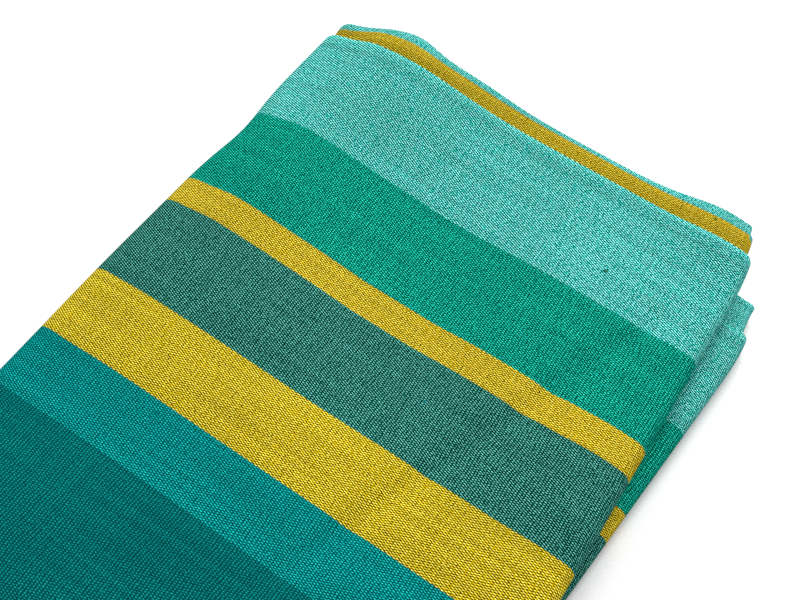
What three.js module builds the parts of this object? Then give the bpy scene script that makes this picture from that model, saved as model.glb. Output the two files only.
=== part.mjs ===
// A cut length of handwoven striped cotton, about a metre square, lying folded on a flat surface.
// Both selvedges are turned in and the cloth is halved across its width, which gives a strip of
// four layers. Both ends of that strip are turned in too, and it is halved once more, so four
// strips lie on top of one another. X runs along the stripes, Y across them towards the back.

import * as THREE from 'three';

// The woven cloth
const CLOTH_THICKNESS = 1;
const HALF_THICKNESS = CLOTH_THICKNESS / 2;
const LAYER_PITCH = 1.35;
const LAYERS_IN_STRIP = 4;
const FULL_STRIP = (LAYERS_IN_STRIP - 1) * LAYER_PITCH;
const GAP_BETWEEN_HALVES = 1.6;

// Where the folds lie, at the middle of each round fold
const LEFT_FOLD_X = -106.7;
const TURNED_IN_END_X = -93;
const UPPER_RIGHT_FOLD_X = 113.6;
const LOWER_RIGHT_FOLD_X = 127.2;
const FRONT_FOLD_Y = -211;
const BACK_CREASE_Y = 110.2;

// The turned-in sides, which reach this far forward from the back crease; the lower one lies just
// above the strip's lowest layer
const TURNED_IN_SIDE = 150;
const SIDE_EDGE_Y = BACK_CREASE_Y - TURNED_IN_SIDE;
const LOWER_SIDE_DEPTH = FULL_STRIP - LAYER_PITCH;

// In front of the turned-in sides a strip is only two layers, so it sinks to this share
const SUNK_STRIP = 0.85 * FULL_STRIP;
const SINK_LENGTH = 90;

// The lower half was laid askew: its right end lies further forward and leans to the back right,
// and there more of its lower side is turned in
const LOWER_BACK_SHIFT = 27.5;
const LOWER_FRONT_SHIFT = 18;
const LOWER_LEAN = 0.089;
const LEAN_PIVOT_Y = 88;
const LOWER_EXTRA_TURN_IN = 13.5;

// The upper half lies loosely, at least this much above its pressed height, with soft swells
const LOOSE_RISE = 3;

// Beside the left fold it rolls down to its pressed height between these places
const ROLL_OFF_FROM_X = -86.5;
const ROLL_OFF_TO_X = -112.4;

// Swells and hollows of the upper half, each a soft round rise about its middle
const SWELLS = [
  { name: 'back left swell', x: -67, y: 106, reachX: 37, reachY: 43, rise: 6.7 },
  { name: 'left swell', x: -82, y: 30, reachX: 26, reachY: 48, rise: 3.3 },
  { name: 'middle hollow', x: 0, y: 8, reachX: 30, reachY: 60, rise: -4.4 },
  { name: 'right ridge', x: 103, y: -30, reachX: 16, reachY: 50, rise: 3.1 },
  { name: 'back right swell', x: 100, y: 108, reachX: 18, reachY: 16, rise: 2.3 },
  { name: 'front left slope', x: -112, y: -125, reachX: 26, reachY: 52, rise: -4.4 },
];

// Places where the lowest layer of the top strip bulges out further behind the back crease, and
// springs up more towards the strip's top
const BULGES = [
  { name: 'left bulge', x: -75, reach: 16.7, out: 6, spring: 0.35 },
  { name: 'middle bulge', x: -36.4, reach: 25.5, out: 2.35, spring: 0 },
  { name: 'right bulge', x: 100, reach: 27.2, out: 6, spring: 0 },
];
const SPRING_LENGTH = 8;

// Waves of the side edges, each about its own y, that fade out towards the middle of the packet
const EDGE_WAVES = [
  { name: 'left edge at the front', fadeX: -40, edgeX: -104, y: -130, reach: 80, out: 1.6 },
  { name: 'pinch in the left edge', fadeX: -60, edgeX: -104, y: 38.4, reach: 20.4, out: -2.5 },
  { name: 'back right corner', fadeX: 60, edgeX: 113, y: 130, reach: 20, out: -4.4 },
];

// The way along the stripes, from the end turned in on top to the one turned in below. A run goes
// straight on for its length and a fold turns half round. overhang is how far the strip's lowest
// layer stands out behind its back crease, spring is how far it springs up there, and skew is the
// share of the lower half's shift that the strip takes.
const ALONG = [
  { name: 'second strip', run: UPPER_RIGHT_FOLD_X - TURNED_IN_END_X, steps: 8,
    overhang: [11, 12.5], spring: [0, 0], skew: [0, 0] },
  { name: 'upper right fold', fold: 'end', steps: 6,
    overhang: [12.5, 13], spring: [0, 1], skew: [0, 0] },
  { name: 'top strip', run: UPPER_RIGHT_FOLD_X - TURNED_IN_END_X, steps: 12,
    overhang: [13, 13], spring: [1, 1], skew: [0, 0], bulges: true },
  { name: 'top strip beside the left fold', run: TURNED_IN_END_X - LEFT_FOLD_X, steps: 2,
    overhang: [13, 11], spring: [1, 2], skew: [0, 0], bulges: true },
  { name: 'left fold', fold: 'left', steps: 8,
    overhang: [11, 11], spring: [2, 0], skew: [0, 0] },
  { name: 'bottom strip', run: LOWER_RIGHT_FOLD_X - LEFT_FOLD_X, steps: 4,
    overhang: [11, 18.5], spring: [0, 0], skew: [0, 1] },
  { name: 'lower right fold', fold: 'end', steps: 6,
    overhang: [18.5, 18.5], spring: [0, 0], skew: [1, 1] },
  { name: 'third strip', run: LOWER_RIGHT_FOLD_X - TURNED_IN_END_X, steps: 4,
    overhang: [18.5, 12], spring: [0, 0], skew: [1, 0.056] },
];

function lowerTurnIn(skew) {
  return TURNED_IN_SIDE + LOWER_EXTRA_TURN_IN * skew;
}

// The way across the stripes, from the lower turned-in selvedge to the upper one
function acrossRows(overhang, skew) {
  const frontLength = SIDE_EDGE_Y - FRONT_FOLD_Y;
  return [
    { name: 'lower turned-in side', run: lowerTurnIn(skew), steps: 5 },
    { name: 'its part behind the crease', run: overhang, steps: 1 },
    { name: 'lower back crease', fold: LAYER_PITCH / 2, steps: 4 },
    { name: 'lowest layer behind the crease', run: overhang, steps: 1 },
    { name: 'lowest layer at the back', run: TURNED_IN_SIDE, steps: 5 },
    { name: 'lowest layer at the front', run: frontLength, steps: 4 },
    { name: 'front fold', fold: FULL_STRIP / 2, steps: 4 },
    { name: 'top layer at the front', run: frontLength, steps: 4 },
    { name: 'top layer at the back', run: TURNED_IN_SIDE, steps: 5 },
    { name: 'upper back crease', fold: LAYER_PITCH / 2, steps: 4 },
    { name: 'upper turned-in side', run: TURNED_IN_SIDE, steps: 5 },
  ];
}

// Walks the rows in a plane, always turning left, and gives a place and heading for each step
function walk(start, rows) {
  const stations = [];
  let { a, b } = start;
  let way = 1;
  for (const row of rows) {
    for (let step = 0; step < row.steps; step += 1) {
      const part = step / row.steps;
      const angle = row.fold === undefined ? 0 : Math.PI * part;
      const ahead = row.fold === undefined ? row.run * part : row.fold * Math.sin(angle);
      const aside = row.fold === undefined ? 0 : row.fold * (1 - Math.cos(angle));
      stations.push({
        a: a + way * ahead,
        b: b + way * aside,
        headingA: way * Math.cos(angle),
        headingB: way * Math.sin(angle),
        row,
        part,
      });
    }
    if (row.fold === undefined) {
      a += way * row.run;
    } else {
      b += way * 2 * row.fold;
      way = -way;
    }
  }
  stations.push({ a, b, headingA: way, headingB: 0, row: rows[rows.length - 1], part: 1 });
  return stations;
}

function smoothStep(edgeLow, edgeHigh, value) {
  const part = Math.min(Math.max((value - edgeLow) / (edgeHigh - edgeLow), 0), 1);
  return part * part * (3 - 2 * part);
}

// Distance between a strip's top and lowest layer, which sinks in front of the turned-in sides
function stripThickness(y) {
  const sunk = 1 - smoothStep(SIDE_EDGE_Y - SINK_LENGTH, SIDE_EDGE_Y, y);
  return FULL_STRIP + (SUNK_STRIP - FULL_STRIP) * sunk;
}

// The way along the stripes in the XZ plane, for a strip of the given thickness
function alongStations(thickness) {
  const endRadius = thickness + LAYER_PITCH / 2;
  const leftRadius = 2 * endRadius + GAP_BETWEEN_HALVES / 2;
  const radii = { end: endRadius, left: leftRadius };
  const start = {
    a: TURNED_IN_END_X,
    b: HALF_THICKNESS + 2 * endRadius + GAP_BETWEEN_HALVES,
  };
  const rows = ALONG.map((row) => (row.fold ? { ...row, fold: radii[row.fold] } : row));
  return walk(start, rows);
}

// How far the top surface stands above its pressed height
function looseRise(x, y) {
  const swell = SWELLS.reduce((sum, { x: midX, y: midY, reachX, reachY, rise }) => (
    sum + rise * Math.exp(-(((x - midX) / reachX) ** 2) - ((y - midY) / reachY) ** 2)
  ), LOOSE_RISE);
  return Math.max(swell, 0) * smoothStep(ROLL_OFF_TO_X, ROLL_OFF_FROM_X, x);
}

function blend([from, to], part) {
  return from + (to - from) * part;
}

// A value of the station's row, with what the bulges of the top strip add to it
function withBulges({ row, part, a }, rowValue, bulgeValue) {
  const bulges = row.bulges ? BULGES : [];
  return bulges.reduce((sum, bulge) => (
    sum + bulge[bulgeValue] * Math.exp(-(((a - bulge.x) / bulge.reach) ** 2))
  ), blend(row[rowValue], part));
}

// How far a side edge's waves move a point to the left or the right
function edgeWave(x, y) {
  return EDGE_WAVES.reduce((sum, { fadeX, edgeX, y: midY, reach, out }) => (
    sum + Math.sign(edgeX) * out * Math.exp(-(((y - midY) / reach) ** 2))
      * smoothStep(0, 1, (x - fadeX) / (edgeX - fadeX))
  ), 0);
}

// The place of a point of the cloth: how far along, how far back, and how deep in its strip
function place(alongIndex, y, depth) {
  const thickness = stripThickness(y);
  const station = alongStations(thickness)[alongIndex];
  const skew = blend(station.row.skew, station.part);
  const behindCrease = smoothStep(0, 1, (y - BACK_CREASE_Y - LAYER_PITCH) / SPRING_LENGTH);
  const spring = withBulges(station, 'spring', 'spring') * behindCrease;
  const inward = depth * thickness / FULL_STRIP - spring;
  const straightX = station.a - station.headingB * inward;
  const flatX = straightX + edgeWave(straightX, y);
  const flatZ = station.b + station.headingA * inward;

  const back = (y - FRONT_FOLD_Y) / (BACK_CREASE_Y - FRONT_FOLD_Y);
  const x = flatX + skew * LOWER_LEAN * (y - LEAN_PIVOT_Y);
  const shiftedY = y - skew * (LOWER_FRONT_SHIFT + (LOWER_BACK_SHIFT - LOWER_FRONT_SHIFT) * back);

  const halfHeight = 2 * thickness + LAYER_PITCH;
  const splitZ = HALF_THICKNESS + halfHeight + GAP_BETWEEN_HALVES / 2;
  const looseness = Math.max(flatZ - splitZ, 0) / (halfHeight + GAP_BETWEEN_HALVES / 2);
  return new THREE.Vector3(x, shiftedY, flatZ + looseRise(x, shiftedY) * looseness);
}

// The two faces of the cloth as grids of points, with the way that each cell is split
function clothFaces() {
  const along = alongStations(FULL_STRIP);
  return along.map((alongStation, alongIndex) => {
    const skew = blend(alongStation.row.skew, alongStation.part);
    const start = { a: BACK_CREASE_Y - lowerTurnIn(skew), b: LOWER_SIDE_DEPTH };
    const overhang = withBulges(alongStation, 'overhang', 'out');
    return walk(start, acrossRows(overhang, skew)).map((station) => {
      const middle = place(alongIndex, station.a, station.b);
      const besideMiddle = place(
        alongIndex,
        station.a + station.headingB * HALF_THICKNESS,
        station.b - station.headingA * HALF_THICKNESS,
      );
      const outward = besideMiddle.sub(middle).setLength(HALF_THICKNESS);
      return {
        outer: middle.clone().add(outward),
        inner: middle.clone().sub(outward),
        sameWay: alongStation.headingA * station.headingA >= 0,
      };
    });
  });
}

// One closed sheet: its outer and inner face, its two ends and its two selvedges
function clothGeometry() {
  const faces = clothFaces();
  const rowLength = faces[0].length;
  const innerStart = faces.length * rowLength;
  const positions = [];
  ['outer', 'inner'].forEach((side) => {
    faces.flat().forEach((point) => positions.push(...point[side].toArray()));
  });

  const indices = [];
  const quad = (a, b, c, d) => indices.push(a, b, c, a, c, d);
  for (let i = 0; i + 1 < faces.length; i += 1) {
    for (let j = 0; j + 1 < rowLength; j += 1) {
      const corner = i * rowLength + j;
      const ahead = corner + rowLength;
      if (faces[i][j].sameWay) {
        quad(corner, corner + 1, ahead + 1, ahead);
        quad(innerStart + corner, innerStart + ahead, innerStart + ahead + 1, innerStart + corner + 1);
      } else {
        quad(corner + 1, ahead + 1, ahead, corner);
        quad(innerStart + corner + 1, innerStart + corner, innerStart + ahead, innerStart + ahead + 1);
      }
    }
  }
  const closeEdge = (path) => {
    for (let k = 0; k + 1 < path.length; k += 1) {
      quad(path[k], path[k + 1], innerStart + path[k + 1], innerStart + path[k]);
    }
  };
  const alongPath = faces.map((_, i) => i * rowLength);
  const acrossPath = faces[0].map((_, j) => j);
  closeEdge(alongPath);
  closeEdge(alongPath.map((index) => index + rowLength - 1).reverse());
  closeEdge(acrossPath.map((index) => index + innerStart - rowLength));
  closeEdge([...acrossPath].reverse());

  const geometry = new THREE.BufferGeometry();
  geometry.setAttribute('position', new THREE.Float32BufferAttribute(positions, 3));
  geometry.setIndex(indices);
  geometry.computeVertexNormals();
  return geometry;
}

// The packet's own frame: its middle seen from above, on the surface that it lies on
function centreOnSurface(geometry) {
  geometry.computeBoundingBox();
  const middle = geometry.boundingBox.getCenter(new THREE.Vector3());
  return geometry.translate(-middle.x, -middle.y, 0);
}

const stripedCotton = new THREE.MeshStandardMaterial({
  color: 0x1f9c8c,
  roughness: 0.85,
  metalness: 0,
});

const cloth = new THREE.Mesh(centreOnSurface(clothGeometry()), stripedCotton);
cloth.name = 'folded_cloth';

const part = new THREE.Group();
part.add(cloth);

export default part;
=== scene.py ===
import math

import bpy
import numpy as np
from mathutils import Matrix, Vector


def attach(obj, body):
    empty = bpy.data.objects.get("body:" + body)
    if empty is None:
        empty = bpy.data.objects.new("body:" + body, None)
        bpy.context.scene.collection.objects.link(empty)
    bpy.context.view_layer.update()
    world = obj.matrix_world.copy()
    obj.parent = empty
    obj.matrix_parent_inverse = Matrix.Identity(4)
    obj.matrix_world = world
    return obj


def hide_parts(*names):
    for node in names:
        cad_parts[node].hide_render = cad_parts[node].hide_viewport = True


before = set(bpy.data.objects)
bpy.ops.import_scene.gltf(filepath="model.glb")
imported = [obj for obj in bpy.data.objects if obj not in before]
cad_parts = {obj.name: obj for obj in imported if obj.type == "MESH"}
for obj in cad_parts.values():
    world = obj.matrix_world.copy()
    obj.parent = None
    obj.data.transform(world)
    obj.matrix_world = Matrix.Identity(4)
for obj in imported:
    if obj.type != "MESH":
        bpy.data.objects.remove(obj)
bpy.ops.object.select_all(action="DESELECT")
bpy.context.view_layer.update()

# The view of the photograph: from above the packet's front right, with the camera turned a
# little clockwise about its own axis. Lengths are in metres, and MM is one millimetre.
MM = 0.001
VIEW_FROM = Vector((93.27, -155.90, 412.69)) * MM
VIEW_AZIMUTH = math.radians(26.0)
VIEW_ELEVATION = math.radians(59.4)
VIEW_ROLL = math.radians(8.6)
SENSOR_WIDTH = 36.0
FOCAL_PIXELS = 1064.7
PHOTO_WIDTH = 800
NEAREST_SEEN = 0.01
FARTHEST_SEEN = 20.0

bpy.ops.object.camera_add()
camera = bpy.context.object
camera.name = "photo_view"
camera.data.sensor_width = SENSOR_WIDTH
camera.data.lens = FOCAL_PIXELS * SENSOR_WIDTH / PHOTO_WIDTH
camera.data.clip_start = NEAREST_SEEN
camera.data.clip_end = FARTHEST_SEEN
looking = Vector((
    -math.sin(VIEW_AZIMUTH) * math.cos(VIEW_ELEVATION),
    math.cos(VIEW_AZIMUTH) * math.cos(VIEW_ELEVATION),
    -math.sin(VIEW_ELEVATION),
))
level_right = Vector((math.cos(VIEW_AZIMUTH), math.sin(VIEW_AZIMUTH), 0.0))
turned_right = Matrix.Rotation(-VIEW_ROLL, 3, looking) @ level_right
turned_up = turned_right.cross(looking)
camera.matrix_world = Matrix.Translation(VIEW_FROM) @ Matrix(
    (turned_right, turned_up, -looking)
).transposed().to_4x4()
bpy.context.scene.camera = camera

# The cloth: one cut length of handwoven cotton. Both selvedges are turned in and the cloth is
# halved across its width, both ends of that strip are turned in, and it is halved once more.
# Lengths in this section are in millimetres until the mesh is made.
CLOTH_THICKNESS = 1.0
HALF_THICKNESS = CLOTH_THICKNESS / 2
LAYER_PITCH = 1.35
FULL_STRIP = 3 * LAYER_PITCH
GAP_BETWEEN_HALVES = 1.6
PACKET_MIDDLE = (7.368, -50.444)

LEFT_FOLD_X = -106.7
TURNED_IN_END_X = -93.0
UPPER_RIGHT_FOLD_X = 113.6
LOWER_RIGHT_FOLD_X = 127.2
FRONT_FOLD_Y = -211.0
BACK_CREASE_Y = 110.2

TURNED_IN_SIDE = 150.0
SIDE_EDGE_Y = BACK_CREASE_Y - TURNED_IN_SIDE
LOWER_SIDE_DEPTH = FULL_STRIP - LAYER_PITCH
SUNK_STRIP = 0.85 * FULL_STRIP
SINK_LENGTH = 90.0

# the lower half lies askew under the upper one
LOWER_BACK_SHIFT = 27.5
LOWER_FRONT_SHIFT = 18.0
LOWER_LEAN = 0.089
LEAN_PIVOT_Y = 88.0
LOWER_EXTRA_TURN_IN = 13.5

# the top is loose: it stands up from the layers below and rolls off to the left fold
LOOSE_RISE = 3.0
ROLL_OFF_FROM_X = -86.5
ROLL_OFF_TO_X = -112.4
SPRING_LENGTH = 8.0

# name, x, y, reach along x, reach along y, rise
SWELLS = (
    ("back left swell", -67, 106, 37, 43, 6.7),
    ("left swell", -82, 30, 26, 48, 3.3),
    ("middle hollow", 0, 8, 30, 60, -4.4),
    ("right ridge", 103, -30, 16, 50, 3.1),
    ("back right swell", 100, 108, 18, 16, 2.3),
    ("front left slope", -112, -125, 26, 52, -4.4),
)
# name, x, reach, how far out behind the crease, how far it springs up
BULGES = (
    ("left bulge", -75, 16.7, 6, 0.35),
    ("middle bulge", -36.4, 25.5, 2.35, 0),
    ("right bulge", 100, 27.2, 6, 0),
)
# name, where it fades out, where it is whole, y, reach, out
EDGE_WAVES = (
    ("left edge at the front", -40, -104, -130, 80, 1.6),
    ("pinch in the left edge", -60, -104, 38.4, 20.4, -2.5),
    ("back right corner", 60, 113, 130, 20, -4.4),
)

# A soft kink that the packet got when it lay folded, from the back right to the front middle
KINK_X = 74.0
KINK_LEAN = 0.383
KINK_BACK_Y = 62.0
KINK_FRONT_Y = -132.0
KINK_FADE = 26.0
KINK_HALF_WIDTH = 5.0
KINK_DEPTH = 1.7


def smooth_step(low, high, value):
    part = np.clip((value - low) / (high - low), 0.0, 1.0)
    return part * part * (3.0 - 2.0 * part)


def bump(value, middle, reach):
    return np.exp(-(((value - middle) / reach) ** 2))


def walk(a, b, rows):
    """Walk the rows in a plane, always turning left. Each row is its name, its kind, its size (a
    run's length or a fold's radius) and its number of steps."""
    stations = []
    way, length = 1.0, 0.0
    for index, (_, kind, size, steps) in enumerate(rows):
        closing = 1 if index == len(rows) - 1 else 0
        for step in range(steps + closing):
            part = step / steps
            turn = math.pi * part if kind == "fold" else 0.0
            ahead = math.sin(turn) if kind == "fold" else part
            gone = turn if kind == "fold" else part
            stations.append((
                a + way * size * ahead,
                b + way * size * (1.0 - math.cos(turn)),
                way * math.cos(turn),
                way * math.sin(turn),
                length + size * gone,
                index,
                part,
            ))
        if kind == "fold":
            b = b + way * 2.0 * size
            length = length + math.pi * size
            way = -way
        else:
            a = a + way * size
            length = length + size
    return [np.array(column) for column in zip(*stations)]


# The way along the stripes. Sizes are written as (millimetres, ends' radii, left fold's radii),
# since a fold's radius follows the strip's thickness.
def run(length):
    return np.array([length, 0.0, 0.0])


END_FOLD = np.array([0.0, 1.0, 0.0])
LEFT_FOLD = np.array([0.0, 0.0, 1.0])
TO_UPPER_RIGHT = run(UPPER_RIGHT_FOLD_X - TURNED_IN_END_X)
ALONG = (
    ("second strip", "run", TO_UPPER_RIGHT, 34),
    ("upper right fold", "fold", END_FOLD, 12),
    ("top strip", "run", TO_UPPER_RIGHT, 80),
    ("top strip beside the left fold", "run", run(TURNED_IN_END_X - LEFT_FOLD_X), 5),
    ("left fold", "fold", LEFT_FOLD, 18),
    ("bottom strip", "run", run(LOWER_RIGHT_FOLD_X - LEFT_FOLD_X), 20),
    ("lower right fold", "fold", END_FOLD, 12),
    ("third strip", "run", run(LOWER_RIGHT_FOLD_X - TURNED_IN_END_X), 20),
)
# At the start and the end of each row: how far the strip's lowest layer stands out behind its
# crease, how far it springs up there, and its share of the lower half's shift
OVERHANG = (
    (11, 12.5), (12.5, 13), (13, 13), (13, 11),
    (11, 11), (11, 18.5), (18.5, 18.5), (18.5, 12),
)
SPRING = ((0, 0), (0, 1), (1, 1), (1, 2), (2, 0), (0, 0), (0, 0), (0, 0))
SKEW = ((0, 0), (0, 0), (0, 0), (0, 0), (0, 0), (0, 1), (1, 1), (1, 0.056))
# the rows of the top strip, which the bulges are in
TOP_ROWS = (2, 3)

second_strip_z = run(HALF_THICKNESS + GAP_BETWEEN_HALVES) + 2.0 * END_FOLD
along_a, along_b, along_heading_a, along_heading_b, along_length, along_row, along_part = walk(
    run(TURNED_IN_END_X), second_strip_z, ALONG
)


def row_value(ends):
    start, end = np.array(ends, float)[along_row].T
    return start + (end - start) * along_part


overhang = row_value(OVERHANG)
spring = row_value(SPRING)
skew = row_value(SKEW)
bulge_out = np.zeros_like(skew)
for _, bulge_x, reach, out, up in BULGES:
    swell = bump(along_a[:, 0], bulge_x, reach) * np.isin(along_row, TOP_ROWS)
    bulge_out = bulge_out + out * swell
    spring = spring + up * swell
overhang = overhang + bulge_out

# The way across the stripes, from the lower turned-in selvedge to the upper one
lower_turn_in = TURNED_IN_SIDE + LOWER_EXTRA_TURN_IN * skew
same = np.ones_like(skew)
front_length = (SIDE_EDGE_Y - FRONT_FOLD_Y) * same
ACROSS = (
    ("lower turned-in side", "run", lower_turn_in, 13),
    ("its part behind the crease", "run", overhang, 6),
    ("lower back crease", "fold", LAYER_PITCH / 2 * same, 8),
    ("lowest layer behind the crease", "run", overhang, 6),
    ("lowest layer at the back", "run", TURNED_IN_SIDE * same, 13),
    ("lowest layer at the front", "run", front_length, 14),
    ("front fold", "fold", FULL_STRIP / 2 * same, 10),
    ("top layer at the front", "run", front_length, 66),
    ("top layer at the back", "run", TURNED_IN_SIDE * same, 58),
    ("upper back crease", "fold", LAYER_PITCH / 2 * same, 8),
    ("upper turned-in side", "run", TURNED_IN_SIDE * same, 13),
)
FRONT_FOLD_ROW = 6
across_y, across_depth, across_heading_y, across_heading_depth, across_length, _, _ = walk(
    BACK_CREASE_Y - lower_turn_in, LOWER_SIDE_DEPTH * same, ACROSS
)
# one row of the mesh for each step along, one column for each step across
across_y, across_depth, across_length = across_y.T, across_depth.T, across_length.T


def along_column(values):
    return values[:, None]


def strip_thickness(y):
    """A strip has four layers at the back and two in front of its turned-in sides, so it sinks."""
    sunk = 1.0 - smooth_step(SIDE_EDGE_Y - SINK_LENGTH, SIDE_EDGE_Y, y)
    return FULL_STRIP + (SUNK_STRIP - FULL_STRIP) * sunk


def loose_rise(x, y):
    """How far the top surface stands above its pressed height."""
    rise = LOOSE_RISE
    for _, mid_x, mid_y, reach_x, reach_y, height in SWELLS:
        rise = rise + height * bump(x, mid_x, reach_x) * bump(y, mid_y, reach_y)
    beside_kink = (x - KINK_X - KINK_LEAN * y) / math.hypot(1.0, KINK_LEAN)
    kink = bump(beside_kink, 0.0, KINK_HALF_WIDTH)
    kink = kink * smooth_step(KINK_FRONT_Y - KINK_FADE, KINK_FRONT_Y + KINK_FADE, y)
    kink = kink * (1.0 - smooth_step(KINK_BACK_Y - KINK_FADE, KINK_BACK_Y + KINK_FADE, y))
    rolled = smooth_step(ROLL_OFF_TO_X, ROLL_OFF_FROM_X, x)
    return np.maximum(rise - KINK_DEPTH * kink, 0.0) * rolled


def edge_wave(x, y):
    """How far the left and right edges bend out or in."""
    wave = 0.0
    for _, fade_x, edge_x, mid_y, reach, out in EDGE_WAVES:
        near_edge = smooth_step(0.0, 1.0, (x - fade_x) / (edge_x - fade_x))
        wave = wave + np.sign(edge_x) * out * bump(y, mid_y, reach) * near_edge
    return wave


def place(y, depth):
    """Where points of the cloth lie, from how far back and how deep in their strip they are."""
    thickness = strip_thickness(y)
    end_radius = thickness + LAYER_PITCH / 2
    left_radius = 2.0 * end_radius + GAP_BETWEEN_HALVES / 2
    sizes = np.stack([np.ones_like(y), end_radius, left_radius])
    station_a = np.einsum("ik,kij->ij", along_a, sizes)
    station_b = np.einsum("ik,kij->ij", along_b, sizes)

    behind_crease = smooth_step(0.0, 1.0, (y - BACK_CREASE_Y - LAYER_PITCH) / SPRING_LENGTH)
    inward = depth * thickness / FULL_STRIP - along_column(spring) * behind_crease
    straight_x = station_a - along_column(along_heading_b) * inward
    flat_x = straight_x + edge_wave(straight_x, y)
    flat_z = station_b + along_column(along_heading_a) * inward

    share = along_column(skew)
    back = (y - FRONT_FOLD_Y) / (BACK_CREASE_Y - FRONT_FOLD_Y)
    x = flat_x + share * LOWER_LEAN * (y - LEAN_PIVOT_Y)
    shifted_y = y - share * (LOWER_FRONT_SHIFT + (LOWER_BACK_SHIFT - LOWER_FRONT_SHIFT) * back)

    half_height = 2.0 * thickness + LAYER_PITCH
    split_z = HALF_THICKNESS + half_height + GAP_BETWEEN_HALVES / 2
    looseness = np.maximum(flat_z - split_z, 0.0) / (half_height + GAP_BETWEEN_HALVES / 2)
    z = flat_z + loose_rise(x, shifted_y) * looseness
    return np.stack([x - PACKET_MIDDLE[0], shifted_y - PACKET_MIDDLE[1], z], axis=-1)


middle = place(across_y, across_depth)
beside = place(
    across_y + HALF_THICKNESS * across_heading_depth,
    across_depth - HALF_THICKNESS * across_heading_y,
)
outward = beside - middle
outward *= HALF_THICKNESS / np.linalg.norm(outward, axis=-1, keepdims=True)

# Flat lengths along and across the cloth, the second from the middle of the front fold
NOMINAL_SIZES = np.array([
    1.0,
    FULL_STRIP + LAYER_PITCH / 2,
    2.0 * FULL_STRIP + LAYER_PITCH + (GAP_BETWEEN_HALVES + LOOSE_RISE) / 2,
])
flat_along = along_length @ NOMINAL_SIZES
steps_across = [steps for _, _, _, steps in ACROSS]
front_step = sum(steps_across[:FRONT_FOLD_ROW]) + steps_across[FRONT_FOLD_ROW] // 2
flat_across = across_length - across_length[:, front_step:front_step + 1]

# The cloth isn't folded evenly along its threads: behind the crease the bulges take up more
# cloth, and in the lower half the stripes drift off the folds from the front to the back.
FRONT_DRIFT = -9.4
DRIFT_GAINED_BELOW = 29.4
DRIFT_GAINED_ABOVE = 10.0
BULGE_TAKE_UP = 1.62
back_share = np.clip((across_y - FRONT_FOLD_Y) / (BACK_CREASE_Y - FRONT_FOLD_Y), 0.0, 1.0)
on_low_side = np.arange(flat_across.shape[1]) < front_step
drift_gained = np.where(on_low_side, DRIFT_GAINED_BELOW, DRIFT_GAINED_ABOVE)
drift = along_column(skew) * (FRONT_DRIFT + drift_gained * back_share)
drift += along_column(BULGE_TAKE_UP * bulge_out) * on_low_side * back_share
flat_across = flat_across + drift

# From the sage stripes out, the warp threads lie farther and farther apart. The cloth is counted
# in threads there, at the pitch that they have in the middle.
OPENS_FROM = 170.0
OPENS_OVER = 142.0
OPENED_SHARE = 0.17
OPENING_POWER = 2.5
FULLY_OPEN = 1.08
opening = np.clip((np.abs(flat_across) - OPENS_FROM) / OPENS_OVER, 0.0, FULLY_OPEN)
opened = OPENED_SHARE * OPENS_OVER * opening**OPENING_POWER / OPENING_POWER
flat_across = flat_across - np.sign(flat_across) * opened

# The mesh: the outer and the inner face of the cloth, and the narrow edge between them
rows, columns = middle.shape[:2]
grid = np.arange(rows * columns).reshape(rows, columns)
corners = (grid[:-1, :-1], grid[:-1, 1:], grid[1:, 1:], grid[1:, :-1])
outer_faces = np.stack(corners, -1).reshape(-1, 4)
inner_faces = outer_faces[:, ::-1] + grid.size
rim = np.concatenate([grid[:, 0], grid[-1, 1:], grid[-2::-1, -1], grid[0, -2:0:-1]])
next_on_rim = np.roll(rim, -1)
edge_faces = np.stack([rim, next_on_rim, next_on_rim + grid.size, rim + grid.size], -1)
outer_points = (middle + outward).reshape(-1, 3)
inner_points = (middle - outward).reshape(-1, 3)
points = np.concatenate([outer_points, inner_points]) * MM
faces = np.concatenate([outer_faces, inner_faces, edge_faces])

cloth_mesh = bpy.data.meshes.new("folded_striped_cloth")
cloth_mesh.from_pydata(points.tolist(), [], faces.tolist())
smooth = np.ones(len(faces), bool)
smooth[-len(edge_faces):] = False
cloth_mesh.polygons.foreach_set("use_smooth", smooth)
flat_along = np.broadcast_to(along_column(flat_along), grid.shape)
flat_place = np.stack([flat_along, flat_across], -1)
flat_place = np.concatenate([flat_place.reshape(-1, 2)] * 2) * MM
loop_points = np.zeros(len(cloth_mesh.loops), np.int32)
cloth_mesh.loops.foreach_get("vertex_index", loop_points)
flat_layer = cloth_mesh.uv_layers.new(name="flat_cloth")
flat_layer.data.foreach_set("uv", flat_place[loop_points].astype(np.float32).ravel())
cloth_mesh.validate()
cloth = bpy.data.objects.new("striped_cloth", cloth_mesh)
bpy.context.scene.collection.objects.link(cloth)


def add_node(tree, kind, inputs=None, **settings):
    node = tree.nodes.new(kind)
    for name, value in settings.items():
        setattr(node, name, value)
    for socket, value in (inputs or {}).items():
        if isinstance(value, bpy.types.NodeSocket):
            tree.links.new(value, node.inputs[socket])
        else:
            node.inputs[socket].default_value = value
    return node


def compute(tree, operation, *values):
    node = add_node(tree, "ShaderNodeMath", dict(enumerate(values)), operation=operation)
    return node.outputs[0]


def mix_colours(tree, share, first, second):
    # sockets 0, 6 and 7 are the share and the two colours
    inputs = {0: share, 6: first, 7: second}
    return add_node(tree, "ShaderNodeMix", inputs, data_type="RGBA").outputs[2]


def ease(tree, value, low, high, to_low=0.0, to_high=1.0):
    node = add_node(
        tree, "ShaderNodeMapRange",
        {"Value": value, "From Min": low, "From Max": high, "To Min": to_low, "To Max": to_high},
        interpolation_type="SMOOTHSTEP",
    )
    return node.outputs["Result"]


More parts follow.
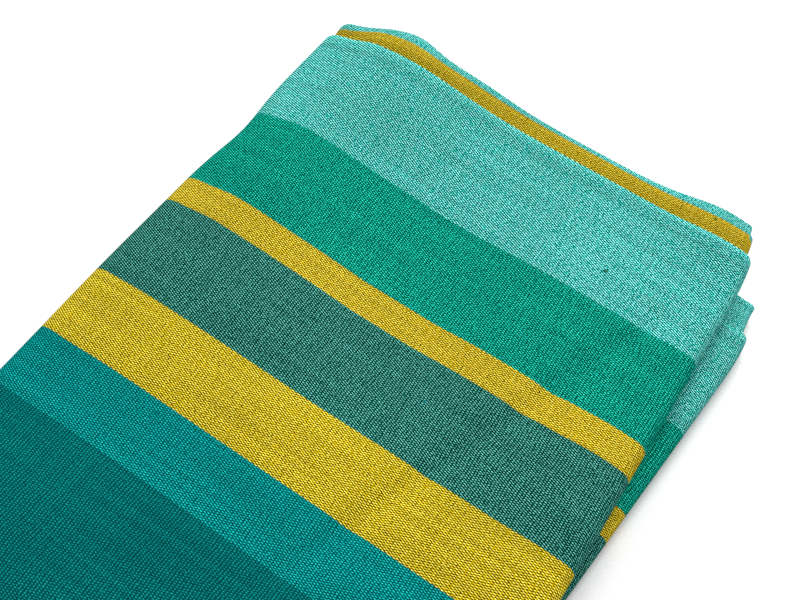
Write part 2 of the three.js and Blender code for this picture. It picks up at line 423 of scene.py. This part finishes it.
def new_group(name, inputs, outputs):
    group = bpy.data.node_groups.new(name, "ShaderNodeTree")
    for socket, kind in inputs:
        group.interface.new_socket(socket, in_out="INPUT", socket_type=kind)
    for socket, kind in outputs:
        group.interface.new_socket(socket, in_out="OUTPUT", socket_type=kind)
    given = group.nodes.new("NodeGroupInput").outputs
    made = group.nodes.new("NodeGroupOutput").inputs
    return group, given, made


# A plain weave that is mostly warp: each warp thread, or end, goes over one weft thread, or pick,
# and under the next, and its neighbour the other way round. The yarn is uneven, so the threads
# wander a little and their dots are broken up.
FLOAT, COLOUR = "NodeSocketFloat", "NodeSocketColor"
PICK_MM = 1.34
END_MM = 0.487
END_SWAY = 0.7
THREAD_SHOWS = (-0.5, 0.3)
# where the painted highlight on the threads' crowns shows, between these heights of the weave
CROWN_HIGHLIGHT_SHOWS = (0.3, 0.9)
# How fast each changes along and across, in spots to a millimetre, and how finely it is broken up.
# The tones are the slow unevenness of ends, of picks and of whole patches.
SWAY_SPOTS = (0.03, 0.05, 2.0)
FLECK_SPOTS = (1.1, 2.6, 0.0)
TONE_SPOTS = {
    "End Tone": (0.01, 0.9, 2.0),
    "Pick Tone": (0.5, 0.02, 2.0),
    "Patch Tone": (0.012, 0.03, 1.0),
}
NOISE_MIDDLE = 0.5
# Along and Across are millimetres on the flat cloth. Rib is how much the picks show as ribs beside
# the dots that the ends make, Lean how far the dots join up into slanting lines, Flecks how broken
# up they are, and Unevenness how far the threads wander.
weave, given, made = new_group(
    "plain_weave",
    [(name, FLOAT) for name in ("Along", "Across", "Rib", "Lean", "Flecks", "Unevenness")],
    [(name, FLOAT) for name in ("Over", "Crown Highlight", "Height", *TONE_SPOTS)],
)


def flat_noise(along_spots, across_spots, detail):
    spot = add_node(weave, "ShaderNodeCombineXYZ", {
        "X": compute(weave, "MULTIPLY", given["Along"], along_spots),
        "Y": compute(weave, "MULTIPLY", given["Across"], across_spots),
    })
    noise = add_node(weave, "ShaderNodeTexNoise", {
        "Vector": spot.outputs[0], "Scale": 1.0, "Detail": detail,
    }, noise_dimensions="2D")
    return noise.outputs["Fac"]


sway = compute(weave, "SUBTRACT", flat_noise(*SWAY_SPOTS), NOISE_MIDDLE)
sway = compute(weave, "MULTIPLY", sway, given["Unevenness"])
pick = compute(weave, "ADD", compute(weave, "DIVIDE", given["Along"], PICK_MM), sway)
end = compute(weave, "DIVIDE", given["Across"], END_MM)
end = compute(weave, "ADD", end, compute(weave, "MULTIPLY", sway, END_SWAY))
pick_turn = compute(weave, "MULTIPLY", pick, math.pi)
end_turn = compute(weave, "MULTIPLY", end, math.pi)
crossing, slant = [
    compute(weave, "MULTIPLY", compute(weave, wave, pick_turn), compute(weave, wave, end_turn))
    for wave in ("COSINE", "SINE")
]
rib_wave = compute(weave, "COSINE", compute(weave, "MULTIPLY", pick_turn, 2.0))
fleck = compute(weave, "SUBTRACT", flat_noise(*FLECK_SPOTS), NOISE_MIDDLE)
raised = crossing
for part, amount in ((slant, "Lean"), (rib_wave, "Rib"), (fleck, "Flecks")):
    raised = compute(weave, "MULTIPLY_ADD", part, given[amount], raised)
weave.links.new(ease(weave, raised, *THREAD_SHOWS), made["Over"])
# the share of painted highlight on the crowns of the threads
weave.links.new(ease(weave, raised, *CROWN_HIGHLIGHT_SHOWS), made["Crown Highlight"])
# brought from about -1 to 1 into about 0 to 1
weave.links.new(compute(weave, "MULTIPLY_ADD", raised, 0.5, 0.5), made["Height"])
for name, spots in TONE_SPOTS.items():
    weave.links.new(flat_noise(*spots), made[name])

# The dyed stripes, counted out from the middle of the front fold to both sides: how far each
# reaches in millimetres, the colours of the gaps between its threads (the weft darkened by painted
# shade), of the threads and of their crowns where they lie highest (a painted highlight), and how
# strong its ribs, slant and flecks are. The last one goes on to the selvedge.
STRIPES = (
    ("dark teal", 91.4, ((0, 62, 60), (0, 98, 97), (24, 131, 130)), (0.6, 0.0, 2.3)),
    ("teal", 120.6, ((0, 62, 59), (0, 122, 119), (36, 190, 186)), (0.2, 0.12, 1.6)),
    ("wide yellow", 154.6, ((34, 24, 0), (206, 176, 0), (255, 244, 108)), (0.0, 0.1, 1.3)),
    ("sage", 199.3, ((0, 16, 8), (0, 88, 72), (112, 203, 190)), (0.1, 0.4, 1.3)),
    ("narrow yellow", 214.0, ((26, 18, 0), (198, 166, 0), (255, 240, 108)), (0.0, 0.1, 1.3)),
    ("emerald", 259.8, ((0, 44, 32), (0, 122, 98), (48, 224, 202)), (0.12, 0.32, 1.6)),
    ("aqua", 329.6, ((0, 16, 12), (16, 176, 162), (164, 254, 250)), (0.0, 0.45, 1.6)),
    ("selvedge yellow", 344.6, ((34, 24, 0), (192, 156, 0), (238, 224, 96)), (0.0, 0.1, 1.3)),
    ("selvedge teal", None, ((0, 62, 59), (0, 122, 119), (36, 190, 186)), (0.2, 0.12, 1.6)),
)
COLOURS = ("Gap And Shade", "Thread", "Crown Highlight")
AMOUNTS = ("Rib", "Lean", "Flecks")
EDGE_SOFTNESS = 0.2
SEEN_SCALE = 255
SEEN_POWER = 2.2


def linear(seen_colour):
    """A colour as it is seen, 0 to 255, in the shader's own scale."""
    return [(part / SEEN_SCALE) ** SEEN_POWER for part in seen_colour] + [1.0]


stripes, given, made = new_group(
    "dyed_stripes", [("Across", FLOAT)],
    [(name, COLOUR) for name in COLOURS] + [(name, FLOAT) for name in AMOUNTS],
)
from_fold = compute(stripes, "ABSOLUTE", given["Across"])
_, _, first_colours, amounts = STRIPES[0]
colours = [linear(seen_colour) for seen_colour in first_colours]
for (_, reach, _, own_amounts), (_, _, next_colours, next_amounts) in zip(STRIPES, STRIPES[1:]):
    past_edge = ease(stripes, from_fold, reach - EDGE_SOFTNESS, reach + EDGE_SOFTNESS)
    colours = [
        mix_colours(stripes, past_edge, so_far, linear(following))
        for so_far, following in zip(colours, next_colours)
    ]
    amounts = [
        compute(stripes, "MULTIPLY_ADD", past_edge, following - own, so_far)
        for so_far, own, following in zip(amounts, own_amounts, next_amounts)
    ]
for name, value in zip(COLOURS + AMOUNTS, colours + amounts):
    stripes.links.new(value, made[name])

# The few knots and stray fibres that the cloth has on its visible side: place along and across
# the flat cloth in millimetres, how far each reaches both ways, its colour and how much it covers
KNOTS = (
    ("nub", 269.9, 274.7, 1.1, 0.85, (34, 96, 74), 0.95),
    ("nub's dark end", 270.7, 274.2, 0.5, 0.5, (0, 52, 44), 0.9),
    ("green knot", 341.2, 303.5, 1.2, 0.7, (0, 118, 108), 0.8),
    ("knot by the selvedge", 238.9, -331.5, 1.0, 0.8, (62, 92, 24), 0.85),
    ("teal fibre", 301.0, 180.7, 0.8, 0.8, (10, 106, 106), 0.85),
    ("grey fibre", 350.5, 287.3, 0.5, 1.0, (116, 148, 150), 0.6),
)
# the squares of the distances, in reaches, at which a knot begins to fade and is gone
KNOT_FADES_FROM = 0.5
KNOT_GONE_BY = 1.3
knotted, given, made = new_group(
    "stray_knots", [("Along", FLOAT), ("Across", FLOAT), ("Colour", COLOUR)], [("Colour", COLOUR)],
)


def reaches_from(way, middle, reach):
    return compute(knotted, "DIVIDE", compute(knotted, "SUBTRACT", given[way], middle), reach)


colour = given["Colour"]
for _, along, across, reach_along, reach_across, seen_colour, cover in KNOTS:
    beside_along = reaches_from("Along", along, reach_along)
    beside_across = reaches_from("Across", across, reach_across)
    far = compute(knotted, "MULTIPLY", beside_along, beside_along)
    far = compute(knotted, "MULTIPLY_ADD", beside_across, beside_across, far)
    covered = ease(knotted, far, KNOT_FADES_FROM, KNOT_GONE_BY, cover, 0.0)
    colour = mix_colours(knotted, covered, colour, linear(seen_colour))
knotted.links.new(colour, made["Colour"])

# The pressed back creases: a thin painted highlight on the fold, and a slightly darker band of
# painted shade just inside it. Both run along the stripes. Each has its place across the flat
# cloth, its reach and its tone.
CREASE_HIGHLIGHT_AND_SHADE = (
    ("painted highlight on the fold", 312.2, 1.4, 1.24),
    ("painted shade inside it", 306.6, 4.2, 0.89),
)
pressed, given, made = new_group("crease_highlight_and_shade", [("Across", FLOAT)], [("Tone", FLOAT)])
from_fold = compute(pressed, "ABSOLUTE", given["Across"])
crease_light_and_shade = 1.0
for _, across, reach, tone in CREASE_HIGHLIGHT_AND_SHADE:
    beside = compute(pressed, "ABSOLUTE", compute(pressed, "SUBTRACT", from_fold, across))
    painted_line_tone = ease(pressed, beside, 0.0, reach, tone, 1.0)
    crease_light_and_shade = compute(pressed, "MULTIPLY", painted_line_tone, crease_light_and_shade)
pressed.links.new(crease_light_and_shade, made["Tone"])

# The cotton: matt dyed yarn with no shine in its surface; the light on the threads' crowns is a
# painted highlight. Its ends, picks and patches are a little darker or lighter than each other,
# and the threads' crowns stand up in a fine relief.
COTTON_ROUGHNESS = 0.85
COTTON_SHINE = 0.0
THREAD_UNEVENNESS = 2.0
RELIEF_DEPTH = 0.12 * MM
RELIEF_STRENGTH = 0.5
# the darkest and the lightest tone of each kind, and where in its noise they are reached
TONE_RANGES = (
    ("End Tone", 0.88, 1.12),
    ("Pick Tone", 0.95, 1.05),
    ("Patch Tone", 0.95, 1.05),
)
DARKEST_AT = 0.3
LIGHTEST_AT = 0.7

cotton = bpy.data.materials.new("striped_cotton")
cotton.use_nodes = True
tree = cotton.node_tree
surface = tree.nodes["Principled BSDF"].inputs
surface["Roughness"].default_value = COTTON_ROUGHNESS
surface["Specular IOR Level"].default_value = COTTON_SHINE


def placed(group, inputs):
    return add_node(tree, "ShaderNodeGroup", inputs, node_tree=group).outputs


flat_uv = add_node(tree, "ShaderNodeUVMap", uv_map="flat_cloth").outputs["UV"]
in_mm = add_node(
    tree, "ShaderNodeVectorMath", {0: flat_uv, 1: (1.0 / MM, 1.0 / MM, 0.0)}, operation="MULTIPLY",
)
apart = add_node(tree, "ShaderNodeSeparateXYZ", {0: in_mm.outputs[0]}).outputs
along, across = apart["X"], apart["Y"]
dyed = placed(stripes, {"Across": across})
woven = placed(weave, {
    "Along": along, "Across": across, "Unevenness": THREAD_UNEVENNESS,
    **{name: dyed[name] for name in AMOUNTS},
})
# the gaps between the threads take the weft's colour darkened by painted shade
colour = mix_colours(tree, woven["Over"], dyed["Gap And Shade"], dyed["Thread"])
# the crowns of the threads take a painted highlight
colour = mix_colours(tree, woven["Crown Highlight"], colour, dyed["Crown Highlight"])
# the painted highlight and painted shade along the back creases
tone = placed(pressed, {"Across": across})["Tone"]
for name, darkest, lightest in TONE_RANGES:
    own_tone = ease(tree, woven[name], DARKEST_AT, LIGHTEST_AT, darkest, lightest)
    tone = compute(tree, "MULTIPLY", tone, own_tone)
toned = add_node(tree, "ShaderNodeVectorMath", {0: colour, "Scale": tone}, operation="SCALE")
spotted = placed(knotted, {"Along": along, "Across": across, "Colour": toned.outputs[0]})
tree.links.new(spotted["Colour"], surface["Base Color"])
relief = add_node(tree, "ShaderNodeBump", {
    "Height": woven["Height"], "Distance": RELIEF_DEPTH, "Strength": RELIEF_STRENGTH,
})
tree.links.new(relief.outputs["Normal"], surface["Normal"])
cloth_mesh.materials.append(cotton)

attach(cloth, "root")
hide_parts("folded_cloth")

# The floor: a plain, pale and matt surface that the packet lies on. It reaches far beyond the
# picture on every side.
FLOOR_WIDTH = 20.0
FLOOR_COLOUR = (0.77, 0.77, 0.77, 1.0)
FLOOR_ROUGHNESS = 0.9
bpy.ops.mesh.primitive_plane_add(size=FLOOR_WIDTH, location=(0.0, 0.0, 0.0))
floor = bpy.context.object
floor.name = "floor"
floor_paint = bpy.data.materials.new("white_floor")
floor_paint.use_nodes = True
floor_surface = floor_paint.node_tree.nodes["Principled BSDF"].inputs
floor_surface["Base Color"].default_value = FLOOR_COLOUR
floor_surface["Roughness"].default_value = FLOOR_ROUGHNESS
floor.data.materials.append(floor_paint)

# The light: one wide, soft window light from behind the packet, a little to its left, and a
# bright even surround that fills the shadows
WINDOW_PLACE = (-0.6, 4.2, 3.6)
WINDOW_WIDTH = 3.4
WINDOW_HEIGHT = 3.4
WINDOW_POWER = 490.0
SURROUND_COLOUR = (1.0, 1.0, 1.0, 1.0)
SURROUND_STRENGTH = 0.48
bpy.ops.object.light_add(type="AREA", location=WINDOW_PLACE)
window = bpy.context.object
window.name = "window_light"
window.data.shape = "RECTANGLE"
window.data.size = WINDOW_WIDTH
window.data.size_y = WINDOW_HEIGHT
window.data.energy = WINDOW_POWER
window.rotation_euler = (-window.location).to_track_quat("-Z", "Y").to_euler()
surround = bpy.data.worlds.new("surround")
surround.use_nodes = True
surround_light = surround.node_tree.nodes["Background"].inputs
surround_light["Color"].default_value = SURROUND_COLOUR
surround_light["Strength"].default_value = SURROUND_STRENGTH
bpy.context.scene.world = surround
bpy.context.scene.view_settings.view_transform = "Standard"
bpy.context.scene.cycles.use_denoising = False
